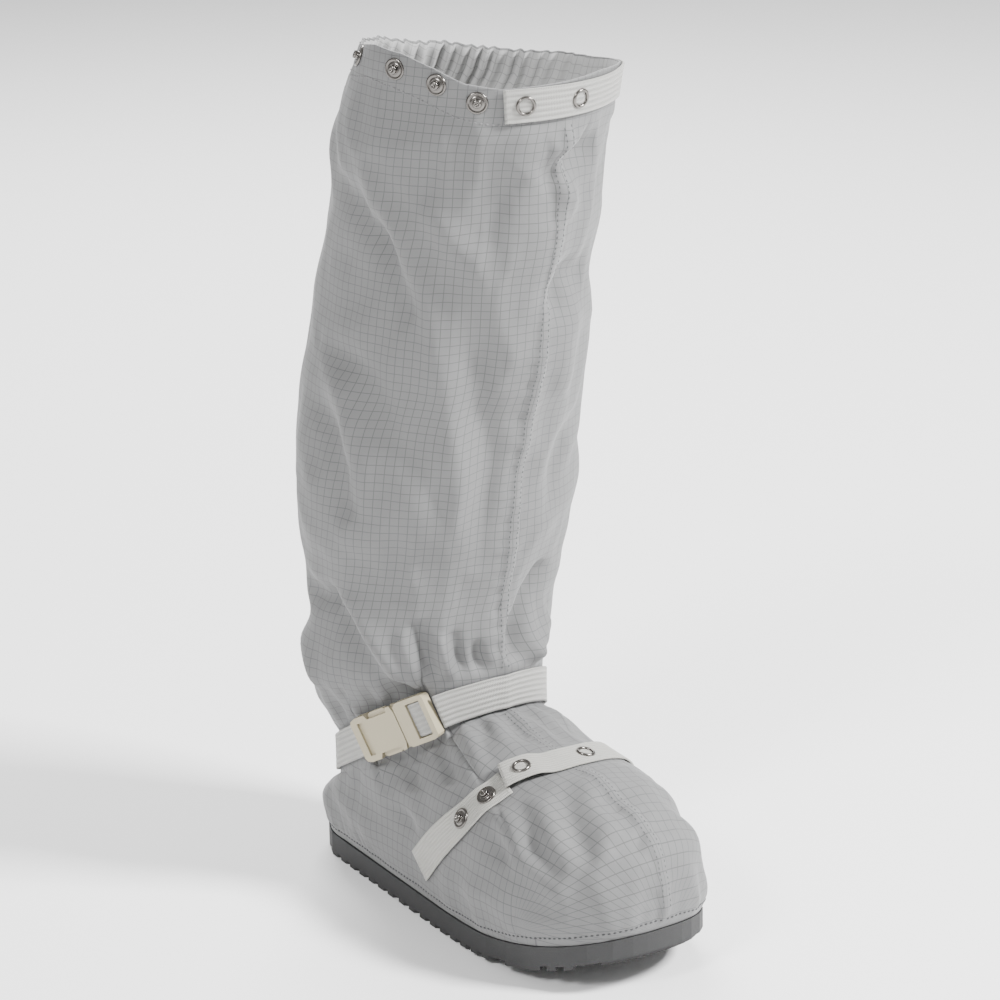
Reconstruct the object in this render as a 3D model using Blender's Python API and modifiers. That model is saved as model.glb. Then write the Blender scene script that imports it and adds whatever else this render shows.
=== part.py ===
"""Cleanroom boot, right foot: a knee-high fabric upper sewn to a moulded rubber sole.

Metres, +Z up, toe towards -Y, the wearer's right (outer side) towards -X.
The lugs rest on z = 0. Tables are written in millimetres and scaled by MM.
"""
import math

import bmesh
import bpy
import numpy as np
from mathutils import Vector
from mathutils.bvhtree import BVHTree

MM = 0.001
GAP = 0.0003

# Sole: half length, then half widths and lengths of its rounded ends
SOLE_HALF_LENGTH = 0.145
BALL_OUTER, BALL_INNER, BALL_Y = 0.0614, 0.0546, -0.060
HEEL_OUTER, HEEL_INNER, HEEL_Y = 0.0490, 0.0440, 0.100
TOE_POWER, HEEL_POWER = 2.45, 2.2
LUG_DEPTH = 0.0024
SOLE_TOP = 0.0138
SPRING_START, SPRING_RISE = -0.014, 0.021
BEND_LINES = (-0.036, -0.055, -0.073, -0.089, -0.104, -0.118, -0.132)
INSOLE_THICK, INSOLE_INSET = 0.002, 0.0042

# Tread: its centre line leaves the toe tip at a small angle; bars run at BAR_ANGLE
TREAD_TURN = math.radians(1.73)
BAR_ANGLE = math.radians(48)
BAR_WIDTH, PITCH = 4.9, 11.7

# Upper: fabric wall, rim on the sole, ring under the ankle strap
WALL = 0.0012
RIM_INSET = 0.0012
RING_Y, RING_A, RING_B = 0.0675, 0.0555, 0.0648
STRAP_FRONT_Y, STRAP_FRONT_Z, STRAP_SLOPE = 0.003, 0.125, -0.574
STRAP_HALF, STRAP_THICK, STRAP_STAND = 0.0098, 0.0015, 0.00098
RING_HALF = 0.012
SEAM_HALF, SEAM_RISE = 0.0030, 0.0008
BAND_HEIGHT, BAND_STEP = 0.020, 0.0008
FRONT_COLUMNS, BACK_COLUMNS = 13, 8

# Buckle on the ankle strap: turns of its two ends, and how far the cloth stands off its chord
BUCKLE_FROM, BUCKLE_TO = math.radians(39), math.radians(84)
FLAT_RISE = 0.0010

# Foot paths from the sole rim to the ankle ring: (share of the plan run, share of the height)
FOOT_PROFILE = [
    (0.0, 0.0), (0.0, 0.13), (0.018, 0.25), (0.042, 0.38), (0.083, 0.52), (0.14, 0.61), (0.21, 0.685),
    (0.30, 0.745), (0.42, 0.80), (0.56, 0.85), (0.72, 0.90), (0.86, 0.952), (1.0, 1.0),
]
HEEL_BULGE, TOE_BULGE = 0.0035, 0.0030

# Shaft sections in mm: front y, front z, back y, back z, half width, shift in x
SHAFT = [
    (3, 153, 137, 92, 65.0, -4), (4, 169, 139, 123, 69.0, -4), (2, 187, 136, 155, 71.0, -1),
    (-3, 207, 137, 185, 75.0, 0), (-9, 230, 139, 215, 79.0, -1), (-14, 257, 140, 248, 80.0, -1),
    (-20, 284, 139, 279, 78.0, -1), (-31, 311, 137, 307, 73.0, 0), (-38, 336, 133, 334, 69.0, -1),
    (-46, 374, 123, 374, 65.0, -3), (-53, 404, 111, 404, 66.0, -3), (-57, 430, 105, 430, 67.5, -4),
    (-60, 448, 98, 448, 69.0, -4),
]
COLLAR = (-64, 480, 78, 480, 66.0, 1)
BAND_FOOT = (-62, 460, 90, 460, 68.0, -1)
# Height of the collar's edge in mm, by turn in degrees: 0 front, 90 outer side, 180 back
COLLAR_EDGE = [(0, 481), (32, 479), (48, 482), (62, 489), (78, 494.5), (95, 496), (120, 491), (150, 488),
               (180, 480), (225, 472), (270, 474), (315, 481), (340, 483), (360, 481)]

# Tapes: half width, thickness, stand-off from the cloth, and routes in mm over the instep and the collar
TAPE_HALF, COLLAR_HALF, TAPE_THICK, TAPE_STAND, TAPE_STEP = 0.0098, 0.0090, 0.0012, 0.0005, 0.005
SEAM_CLEAR, STACK_CLEAR = 0.0009, 0.0017
STUD_ROUTE = [(-57.5, 3.7, 34), (-59.2, -16.2, 54.8), (-57, -36.9, 75.5), (-45.8, -46.5, 89.9),
              (-37, -54, 94), (-25.7, -63.3, 97.4), (-16, -73.3, 97.7)]
RING_ROUTE = [(-35.3, -46.9, 96.1), (-25.6, -51.8, 99.1), (-9.6, -55.9, 101.4), (12.2, -55.6, 101.1),
              (26, -52, 97), (42, -40, 80), (50, -20, 56), (50, -2, 34)]
COLLAR_ROUTE = [(-32.8, -52.5, 470.5), (-23.2, -57.7, 471), (-9.7, -61.6, 471.5), (6.5, -62, 471.8),
                (23.2, -57.6, 472), (43, -44, 472.5), (57, -24, 470), (65, 0, 465.5)]

# Snaps in mm: where they sit, then the profiles turned round their own axes
COLLAR_STUDS = [(-43.5, -44.2, 472.5), (-55.8, -27.5, 481), (-63.9, -2.7, 486.5), (-60.9, 32.5, 485.5)]
INSTEP_STUDS = [(-57, -36.9, 75.5), (-45.8, -46.5, 89.9)]
COLLAR_RINGS = [(-23.2, -57.7, 471.2), (6.5, -62, 471.8)]
INSTEP_RINGS = [(-25.6, -51.8, 99.1), (12.2, -55.6, 101.1)]
STUD_PROFILE = [(0, 0), (5.7, 0), (5.75, 0.45), (5.0, 0.95), (3.3, 0.8), (2.3, 1.0), (2.15, 2.2), (2.5, 2.8),
                (1.9, 3.4), (0, 3.6)]
RING_PROFILE = [(3.7, 0), (5.2, 0), (5.25, 0.5), (4.5, 0.85), (3.75, 0.5)]
SNAP_SIDES, SNAP_STAND = 18, 0.0004


def clear_scene():
    for thing in list(bpy.data.objects):
        bpy.data.objects.remove(thing, do_unlink=True)


def new_collection(name):
    group = bpy.data.collections.new(name)
    bpy.context.scene.collection.children.link(group)
    return group


def material(name, colour, roughness, metallic=0.0):
    mat = bpy.data.materials.new(name)
    mat.use_nodes = True
    shader = mat.node_tree.nodes["Principled BSDF"]
    shader.inputs["Base Color"].default_value = (*colour, 1.0)
    shader.inputs["Roughness"].default_value = roughness
    shader.inputs["Metallic"].default_value = metallic
    return mat


def add_object(name, mesh, group, mat=None):
    obj = bpy.data.objects.new(name, mesh)
    group.objects.link(obj)
    if mat is not None:
        mesh.materials.append(mat)
    return obj


def spring(y):
    """Height that the toe is lifted by at y, in flat strips between the bend lines."""
    lines = (-SOLE_HALF_LENGTH,) + BEND_LINES[::-1] + (SPRING_START, SOLE_HALF_LENGTH)
    shares = [max(0.0, (SPRING_START - at) / (SPRING_START + SOLE_HALF_LENGTH)) for at in lines]
    return float(np.interp(y, lines, [SPRING_RISE * t * t for t in shares]))


def outline_side(outer, inset=0.0, steps=160):
    """Sole edge from toe tip to heel along one side, evenly spaced, with its length shares."""
    sign = -1.0 if outer else 1.0
    ball = (BALL_OUTER if outer else BALL_INNER) - inset
    heel = (HEEL_OUTER if outer else HEEL_INNER) - inset
    toe_depth = SOLE_HALF_LENGTH + BALL_Y - inset
    heel_depth = SOLE_HALF_LENGTH - HEEL_Y - inset
    turns = np.linspace(0.0, math.pi / 2, 40)
    toe = [(ball * math.sin(t) ** (2 / TOE_POWER), BALL_Y - toe_depth * math.cos(t) ** (2 / TOE_POWER))
           for t in turns]
    back = [(heel * math.cos(t) ** (2 / HEEL_POWER), HEEL_Y + heel_depth * math.sin(t) ** (2 / HEEL_POWER))
            for t in turns]
    points = np.array(toe + back)
    points[:, 0] *= sign
    length = np.concatenate([[0.0], np.cumsum(np.hypot(*np.diff(points, axis=0).T))])
    wanted = np.linspace(0.0, length[-1], steps + 1)
    x = np.interp(wanted, length, points[:, 0])
    y = np.interp(wanted, length, points[:, 1])
    return np.stack([x, y], axis=1)


def closed_outline(inset, per_side):
    """Points of the whole edge, closer together round the toe and heel."""
    t = np.linspace(0.0, 1.0, per_side + 1)
    shares = t - 0.045 * np.sin(4 * math.pi * t)
    sides = []
    for outer in (True, False):
        edge = outline_side(outer, inset)
        at = shares * (len(edge) - 1)
        grid = np.arange(len(edge))
        sides.append(np.stack([np.interp(at, grid, edge[:, 0]), np.interp(at, grid, edge[:, 1])], axis=1))
    return np.concatenate([sides[0], sides[1][-2:0:-1]])


def prism(name, polygons, low, high):
    """Upright closed solids with the given plan outlines, all in one mesh."""
    bm = bmesh.new()
    for polygon in polygons:
        area = sum(a[0] * b[1] - b[0] * a[1] for a, b in zip(polygon, list(polygon[1:]) + [polygon[0]]))
        ring = list(polygon) if area > 0 else list(polygon)[::-1]
        bottom = [bm.verts.new((x, y, low)) for x, y in ring]
        top = [bm.verts.new((x, y, high)) for x, y in ring]
        bm.faces.new(bottom[::-1])
        bm.faces.new(top)
        for i in range(len(ring)):
            j = (i + 1) % len(ring)
            bm.faces.new((bottom[i], bottom[j], top[j], top[i]))
    mesh = bpy.data.meshes.new(name)
    bm.to_mesh(mesh)
    bm.free()
    return mesh


def cut(target, cutter):
    modifier = target.modifiers.new("cut", "BOOLEAN")
    modifier.operation = "DIFFERENCE"
    modifier.solver = "EXACT"
    modifier.object = cutter


def bake(obj):
    """Replace an object's mesh by its evaluated one, so that it can be shaped further."""
    graph = bpy.context.evaluated_depsgraph_get()
    mesh = bpy.data.meshes.new_from_object(obj.evaluated_get(graph))
    obj.modifiers.clear()
    obj.data = mesh


def tread_xy(u, v):
    """Plan place of a tread point: u mm from the heel end of its centre line, v mm outwards."""
    ahead = 2 * SOLE_HALF_LENGTH - u * MM
    c, s = math.cos(TREAD_TURN), math.sin(TREAD_TURN)
    return (ahead * s - v * MM * c, -SOLE_HALF_LENGTH + ahead * c + v * MM * s)


def bent_bar(apex, heading, outer_reach, inner_reach):
    """A V of two bars whose outer corner is at apex; heading -1 points it to the toe."""
    half = BAR_WIDTH / 2
    du, dv = math.cos(BAR_ANGLE) * heading, math.sin(BAR_ANGLE)
    corner = half / math.sin(BAR_ANGLE)
    u, v = apex[0] + corner * heading, apex[1]
    tips = [(u + du * outer_reach, v + dv * outer_reach), (u + du * inner_reach, v - dv * inner_reach)]
    nu, nv = dv * half, -du * half
    return [(u - corner * heading, v),
            (tips[0][0] - nu * heading, tips[0][1] - nv * heading),
            (tips[0][0] + nu * heading, tips[0][1] + nv * heading),
            (u + corner * heading, v),
            (tips[1][0] + nu * heading, tips[1][1] - nv * heading),
            (tips[1][0] - nu * heading, tips[1][1] + nv * heading)]


def round_bar(end, outer, reach):
    """A bar from past the sole's edge to a rounded end; it runs towards the toe as it runs in."""
    half = BAR_WIDTH / 2
    side = 1.0 if outer else -1.0
    du, dv = -math.cos(BAR_ANGLE), side * math.sin(BAR_ANGLE)
    nu, nv = -dv, du
    centre = (end[0] + du * half, end[1] + dv * half)
    points = []
    for step in range(5):
        turn = math.pi / 2 * (step / 2 - 1)
        a, b = -math.cos(turn) * half, math.sin(turn) * half
        points.append((centre[0] + du * a + nu * b, centre[1] + dv * a + nv * b))
    far = (centre[0] + du * reach, centre[1] + dv * reach)
    points.append((far[0] + nu * half, far[1] + nv * half))
    points.append((far[0] - nu * half, far[1] - nv * half))
    return points


def toe_pad(apex, inset):
    """The smooth pad at the toe, from its V-shaped heel side to just inside the sole's edge."""
    slope = math.tan(BAR_ANGLE)
    c, s = math.cos(TREAD_TURN), math.sin(TREAD_TURN)
    inner, outer = [], []
    for x, y in closed_outline(inset, 34):
        ahead = s * x + c * (y + SOLE_HALF_LENGTH)
        u = (2 * SOLE_HALF_LENGTH - ahead) / MM
        v = (-c * x + s * (y + SOLE_HALF_LENGTH)) / MM
        if abs(v - apex[1]) <= slope * (u - apex[0]):
            (inner if x > 0 else outer).append((u, v))
    return [apex] + inner + outer


def tread_lugs():
    """Plan outlines of every lug, in tread coordinates."""
    lugs = [bent_bar((89.7 + PITCH * k, 0.0), -1, 100, 100) for k in range(7)]
    lugs.append([(78, 0), (63, 16.5), (63, 9.3), (71.4, 0), (63, -9.3), (63, -16.5)])
    lugs += [bent_bar((u, -5.2), 1, 110, 110) for u in (203.0, 216.1)]
    lugs += [round_bar((133 + 12 * k, 41.5), True, 50) for k in range(2)]
    lugs += [round_bar((182.5 + 5.93 * k, 14.5 + 6.57 * k), True, 75) for k in range(7)]
    lugs += [round_bar((184.5 + 6.3 * k, -19.0 - 6.4 * k), False, 70) for k in range(5)]
    for u in (42.8, 54.5):
        lugs += [round_bar((u, 25), True, 60), round_bar((u, -25), False, 60)]
    lugs.append([(135, 38.3), (151.3, 38.3), (178.5, 9.7), (235, 70.6), (266, 70.6), (195.2, -5.1),
                 (252, -66), (232, -66)])
    lugs.append([(165.5, -5.5), (174.7, -17), (134, -61), (113, -62)])
    lugs.append(toe_pad((229.1, -5.3), 0.003))
    lugs.append([(17, 21), (60, 21), (60, -21), (17, -21)])
    for side in (1, -1):
        lugs.append([(9, 26 * side), (33, 26 * side), (21.5, 37.5 * side), (13, 32 * side)])
    return lugs


def bend_toe(mesh):
    """Cut a flat mesh along the bend lines and lift its toe."""
    bm = bmesh.new()
    bm.from_mesh(mesh)
    for y in (SPRING_START,) + BEND_LINES:
        bmesh.ops.bisect_plane(bm, geom=bm.verts[:] + bm.edges[:] + bm.faces[:], dist=1e-6,
                               plane_co=(0, y, 0), plane_no=(0, 1, 0))
    bmesh.ops.dissolve_degenerate(bm, edges=bm.edges[:], dist=2e-5)
    for vert in bm.verts:
        vert.co.z += spring(vert.co.y)
    bm.to_mesh(mesh)
    bm.free()


def make_outsole(group, cutters, mat):
    """Moulded sole: a plate with upright walls, lugs below it, its toe bent up."""
    sole = add_object("outsole", prism("outsole", [closed_outline(0.0, 30)], 0.0, SOLE_TOP), group, mat)
    reach = 0.2
    slab = add_object("groove_slab", prism("groove_slab", [[(-reach, -reach), (reach, -reach),
                      (reach, reach), (-reach, reach)]], -0.01, LUG_DEPTH), cutters)
    outlines = [[tread_xy(u, v) for u, v in lug] for lug in tread_lugs()]
    lugs = add_object("lug_solids", prism("lug_solids", outlines, -0.02, 0.008), cutters)
    cut(slab, lugs)
    cut(sole, slab)
    bake(sole)
    bend_toe(sole.data)
    for helper in (slab, lugs):
        helper.hide_render = True
        helper.display_type = "WIRE"
    return sole


def make_insole(group, mat):
    """Thin footbed lying on the plate, inside the fabric."""
    low = SOLE_TOP + GAP
    mesh = prism("insole", [closed_outline(INSOLE_INSET, 22)], low, low + INSOLE_THICK)
    bend_toe(mesh)
    return add_object("insole", mesh, group, mat)


def ring_xy(phi):
    return Vector((-RING_A * math.sin(phi), RING_Y - RING_B * math.cos(phi)))


def buckle_chord():
    """Plan ends of the buckle on the ankle ring, and the outward direction across it."""
    start, end = ring_xy(BUCKLE_FROM), ring_xy(BUCKLE_TO)
    run = (end - start).normalized()
    return start, end, Vector((-run.y, run.x))


def strap_frame(phi):
    """Centre of the ankle strap's path at turn phi, with its outward and width directions."""
    plan = ring_xy(phi)
    along = Vector((-RING_A * math.cos(phi), RING_B * math.sin(phi), 0.0))
    out = Vector((-math.sin(phi) / RING_A, -math.cos(phi) / RING_B, 0.0)).normalized()
    if BUCKLE_FROM < phi < BUCKLE_TO:
        start, end, across = buckle_chord()
        plan -= across * max(0.0, (plan - start).dot(across) - FLAT_RISE)
        along, out = Vector((*(end - start), 0.0)), Vector((*across, 0.0))
    along.z = STRAP_SLOPE * along.y
    along.normalize()
    z = STRAP_FRONT_Z + STRAP_SLOPE * (plan.y - STRAP_FRONT_Y)
    return Vector((plan.x, plan.y, z)), out, along.cross(out)


def ring_half(phi):
    """Half width of the band of cloth held by the strap; wider behind the buckle."""
    middle, reach = (BUCKLE_FROM + BUCKLE_TO) / 2, (BUCKLE_TO - BUCKLE_FROM) / 2
    return RING_HALF + 0.0040 * max(0.0, min(1.0, 2.6 - 1.6 * abs(phi - middle) / reach))


def section_point(section, phi):
    """Point of a shaft section at turn phi, 0 at the front and growing towards the outer side."""
    front_y, front_z, back_y, back_z, half, shift = section
    ahead = math.cos(phi)
    x = shift - half * math.sin(phi)
    y = (front_y + back_y) / 2 - (back_y - front_y) / 2 * ahead
    z = (front_z + back_z) / 2 + (front_z - back_z) / 2 * ahead
    return Vector((x, y, z)) * MM


def column_turns():
    """Turns of the upper's columns over the outer half, front to back."""
    front = [math.pi / 2 * k / FRONT_COLUMNS for k in range(FRONT_COLUMNS)]
    back = [math.pi / 2 * (1 + k / BACK_COLUMNS) for k in range(BACK_COLUMNS + 1)]
    return front + back


def rim_point(phi):
    """Where the column at turn phi stands on the sole's edge."""
    outer = phi <= math.pi
    turn = phi if outer else 2 * math.pi - phi
    edge = outline_side(outer, RIM_INSET)
    t = turn / (math.pi / 2)
    quarter = 0.685
    share = quarter * (0.56 * t + 0.44 * t * t) if t <= 1 else quarter + (1 - quarter) * (t - 1)
    at = share * (len(edge) - 1)
    grid = np.arange(len(edge))
    x, y = np.interp(at, grid, edge[:, 0]), np.interp(at, grid, edge[:, 1])
    return Vector((x, y, SOLE_TOP + GAP + spring(y)))


def foot_points(phi):
    """Points of a column from the sole rim up to the foot of the ankle ring."""
    centre, out, width = strap_frame(phi)
    low, high = rim_point(phi), centre - width * ring_half(phi)
    back = 0.5 - 0.5 * math.cos(phi)
    bulge = TOE_BULGE + (HEEL_BULGE - TOE_BULGE) * back
    points = []
    for run, rise in FOOT_PROFILE:
        point = low.lerp(high, run)
        point.z = low.z + (high.z - low.z) * rise
        points.append(point + out * bulge * math.sin(math.pi * rise))
    return points


def collar_edge(phi):
    turns, heights = zip(*COLLAR_EDGE)
    return float(np.interp(math.degrees(phi) % 360, turns, heights)) * MM


def column(phi):
    """Every point of the upper's outer face at turn phi, sole rim to collar edge."""
    centre, out, width = strap_frame(phi)
    points = foot_points(phi)
    points.append(centre + width * ring_half(phi))
    points += [section_point(section, phi) for section in SHAFT]
    edge, band = section_point(COLLAR, phi), section_point(BAND_FOOT, phi)
    edge.z = collar_edge(phi)
    band.z = edge.z - BAND_HEIGHT
    step = Vector((math.sin(phi), math.cos(phi), 0.0)) * BAND_STEP
    points.append(band)
    points.append(band + step + Vector((0.0, 0.0, BAND_STEP)))
    points.append(band.lerp(edge, 0.6) + step)
    points.append(edge + step)
    return points


def make_upper(group, mat):
    """One fabric wall from the sole to the collar, with a raised front seam and a collar hem."""
    turns = column_turns()
    full = turns + [2 * math.pi - t for t in turns[-2:0:-1]]
    columns = [column(phi) for phi in full]
    front = columns[0]
    seams = []
    for near in (columns[1], columns[-1]):
        line = []
        for a, b in zip(front, near):
            share = min(0.45, SEAM_HALF / max((b - a).length, 1e-6))
            line.append(a.lerp(b, share))
        seams.append(line)
    raised = []
    for i, point in enumerate(front):
        before, after = front[max(i - 1, 0)], front[min(i + 1, len(front) - 1)]
        rise = Vector((1, 0, 0)).cross(after - before).normalized()
        raised.append(point + rise * SEAM_RISE if 0 < i < len(front) - 5 else point.copy())
    columns = [raised, seams[0]] + columns[1:] + [seams[1]]
    bm = bmesh.new()
    grid = [[bm.verts.new(p) for p in line] for line in columns]
    for i in range(len(grid)):
        j = (i + 1) % len(grid)
        for k in range(len(grid[0]) - 1):
            bm.faces.new((grid[i][k], grid[i][k + 1], grid[j][k + 1], grid[j][k]))
    bmesh.ops.recalc_face_normals(bm, faces=bm.faces[:])
    mesh = bpy.data.meshes.new("upper")
    bm.to_mesh(mesh)
    bm.free()
    mesh.shade_smooth()
    upper = add_object("upper", mesh, group, mat)
    shell = upper.modifiers.new("wall", "SOLIDIFY")
    shell.thickness = WALL
    shell.offset = -1.0
    shell.use_even_offset = True
    return upper


def cloth_tree():
    """The upper's outer face without its raised seam, for laying tapes and snaps on."""
    turns = column_turns()
    columns = [column(phi) for phi in turns + [2 * math.pi - t for t in turns[-2:0:-1]]]
    rows = len(columns[0])
    points = [p for line in columns for p in line]
    faces = []
    for i in range(len(columns)):
        j = (i + 1) % len(columns)
        for k in range(rows - 1):
            faces.append((i * rows + k, i * rows + k + 1, j * rows + k + 1, j * rows + k))
    return BVHTree.FromPolygons(points, faces)


def on_cloth(tree, point):
    """Nearest place on the cloth and its outward direction there."""
    place, normal, _, _ = tree.find_nearest(point)
    axis = Vector((0.0, (RING_Y if place.z < 0.2 else 0.03) * 0.5, min(place.z, 0.04)))
    return place, normal if normal.dot(place - axis) > 0 else -normal


def loft(name, rings, group, mat):
    """Closed solid through rings of points, with flat ends."""
    bm = bmesh.new()
    grid = [[bm.verts.new(p) for p in ring] for ring in rings]
    for a, b in zip(grid, grid[1:]):
        for i in range(len(a)):
            j = (i + 1) % len(a)
            bm.faces.new((a[i], a[j], b[j], b[i]))
    for cap in (grid[0], grid[-1]):
        for k in range(len(cap) // 2 - 1):
            bm.faces.new((cap[k], cap[k + 1], cap[-k - 2], cap[-k - 1]))
    bmesh.ops.recalc_face_normals(bm, faces=bm.faces[:])
    mesh = bpy.data.meshes.new(name)
    bm.to_mesh(mesh)
    bm.free()
    return add_object(name, mesh, group, mat)


def walk(route, step):
    """Points along a route, evenly spaced."""
    points = np.array(route) * MM
    length = np.concatenate([[0.0], np.cumsum(np.linalg.norm(np.diff(points, axis=0), axis=1))])
    wanted = np.linspace(0.0, length[-1], max(2, round(length[-1] / step)) + 1)
    return [Vector([float(np.interp(t, length, points[:, k])) for k in range(3)]) for t in wanted]


def make_tape(name, route, half, tree, group, mat, below=None):
    """Flat tape laid on the cloth along a route; it rises over the front seam and a tape below it."""
    centres = [on_cloth(tree, p) for p in walk(route, TAPE_STEP)]
    under = [on_cloth(tree, p)[0] for p in walk(below, 0.002)] if below else []
    rings = []
    for i, (place, normal) in enumerate(centres):
        before, after = centres[max(i - 1, 0)][0], centres[min(i + 1, len(centres) - 1)][0]
        side = normal.cross(after - before).normalized()
        low, high = [], []
        for share in (-1.0, -0.34, 0.34, 1.0):
            spot, out = on_cloth(tree, place + side * half * share)
            stand = TAPE_STAND
            if spot.y < 0:
                stand += SEAM_CLEAR * max(0.0, 1 - abs(spot.x) / 0.010)
            if under:
                near = min((spot - p).length for p in under)
                stand += STACK_CLEAR * max(0.0, min(1.0, (0.019 - near) / 0.005))
            low.append(spot + out * stand)
            high.append(spot + out * (stand + TAPE_THICK))
        rings.append(low + high[::-1])
    return loft(name, rings, group, mat)


def make_strap(group, mat):
    """Ankle strap on the upper's own columns, from one end of the buckle round to the other."""
    margin = math.radians(0.45)
    turns = column_turns()
    full = [t for t in turns if t < BUCKLE_FROM - 0.03][::-1] + [-t for t in turns[1:]]
    full += [t - 2 * math.pi for t in turns[-2:0:-1] if t > BUCKLE_TO + 0.03]
    full = [BUCKLE_FROM - margin] + full + [BUCKLE_TO + margin - 2 * math.pi]
    rings = []
    for phi in full:
        centre, out, width = strap_frame(phi)
        near_end = min(abs(phi - BUCKLE_FROM), abs(phi + 2 * math.pi - BUCKLE_TO))
        stand = STRAP_STAND + SEAM_CLEAR * max(0.0, 1 - abs(phi) / 0.12)
        stand += 0.0017 * max(0.0, 1 - near_end / 0.14)
        inner, outer = centre + out * stand, centre + out * (stand + STRAP_THICK)
        w = width * STRAP_HALF
        rings.append([inner - w, inner + w, outer + w, outer - w])
    return loft("ankle_strap", rings, group, mat)


def buckle_solid(name, outlines, low, high, group, mat=None):
    """Solid on the buckle's own axes in mm: s along the strap from its front end, w across, n outwards."""
    start, end, across = buckle_chord()
    foot, far = Vector((*start, 0)), Vector((*end, 0))
    for point in (foot, far):
        point.z = STRAP_FRONT_Z + STRAP_SLOPE * (point.y - STRAP_FRONT_Y)
    along, out = (far - foot).normalized(), Vector((*across, 0))
    width = along.cross(out)
    mesh = prism(name, outlines, low, high)
    for vert in mesh.vertices:
        s, w, n = vert.co * MM
        vert.co = foot + along * s + width * w + out * n
    bm = bmesh.new()
    bm.from_mesh(mesh)
    bmesh.ops.recalc_face_normals(bm, faces=bm.faces[:])
    bm.to_mesh(mesh)
    bm.free()
    return add_object(name, mesh, group, mat)


def mirrored(half_outline):
    return half_outline + [(s, -w) for s, w in half_outline[::-1]]


def make_buckle(group, cutters, mat):
    """Fastened side-release buckle: a socket at the back, a plug with two side arms at the front."""
    body = mirrored([(22.6, 9.0), (24.0, 13.0), (26.5, 13.3), (27.5, 10.4), (41.5, 10.4), (43.0, 13.3),
                     (50.0, 13.3), (53.0, 12.2), (54.0, 10.2)])
    socket = buckle_solid("buckle_socket", [body], 2.0, 9.2, group, mat)
    arms_room = [[(20, 8.4), (42, 8.4), (42, 15), (20, 15)], [(20, -15), (42, -15), (42, -8.4), (20, -8.4)]]
    room = buckle_solid("arms_room", arms_room, 3.6, 7.5, cutters)
    slot = buckle_solid("socket_slot", [[(45.5, -9.8), (49.5, -9.8), (49.5, 9.8), (45.5, 9.8)]], 7.6, 12, cutters)
    cut(socket, room)
    cut(socket, slot)
    frame = mirrored([(0.3, 11.2), (1.4, 12.6), (4.0, 13.3), (20.0, 13.3), (22.2, 11.2)])
    plug = buckle_solid("buckle_plug", [frame], 2.2, 8.8, group, mat)
    arm = [(18, 8.8), (41.4, 8.8), (41.4, 12.2), (39.5, 13.5), (29.5, 13.5), (28.2, 12.0), (18, 12.0)]
    arms = buckle_solid("plug_arms", [arm, [(s, -w) for s, w in arm]], 3.95, 7.15, cutters)
    window = buckle_solid("plug_window", [[(3.6, -10.3), (13.5, -10.3), (13.5, 10.3), (3.6, 10.3)]], 5.4, 12, cutters)
    join = plug.modifiers.new("arms", "BOOLEAN")
    join.operation = "UNION"
    join.solver = "EXACT"
    join.object = arms
    cut(plug, window)
    for obj in (socket, plug):
        bake(obj)
    for helper in (room, slot, arms, window):
        helper.hide_render = True
        helper.display_type = "WIRE"


def make_snap(name, profile, spot, rise, tree, group, mat):
    """Snap half turned from a profile, sitting on the cloth or a tape at a spot."""
    place, out = on_cloth(tree, Vector(spot) * MM)
    side = out.orthogonal().normalized()
    other = out.cross(side)
    bm = bmesh.new()
    rings = []
    for radius, height in profile:
        centre = place + out * (rise + height * MM)
        if radius == 0:
            rings.append([bm.verts.new(centre)])
            continue
        turns = [2 * math.pi * k / SNAP_SIDES for k in range(SNAP_SIDES)]
        rings.append([bm.verts.new(centre + (side * math.cos(t) + other * math.sin(t)) * radius * MM)
                      for t in turns])
    closed = rings + [rings[0]] if len(rings[0]) > 1 else rings
    for a, b in zip(closed, closed[1:]):
        for i in range(SNAP_SIDES):
            j = (i + 1) % SNAP_SIDES
            corners = [a[i % len(a)], a[j % len(a)], b[j % len(b)], b[i % len(b)]]
            bm.faces.new(list(dict.fromkeys(corners)))
    bmesh.ops.recalc_face_normals(bm, faces=bm.faces[:])
    mesh = bpy.data.meshes.new(name)
    bm.to_mesh(mesh)
    bm.free()
    mesh.shade_smooth()
    add_object(name, mesh, group, mat)


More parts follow.
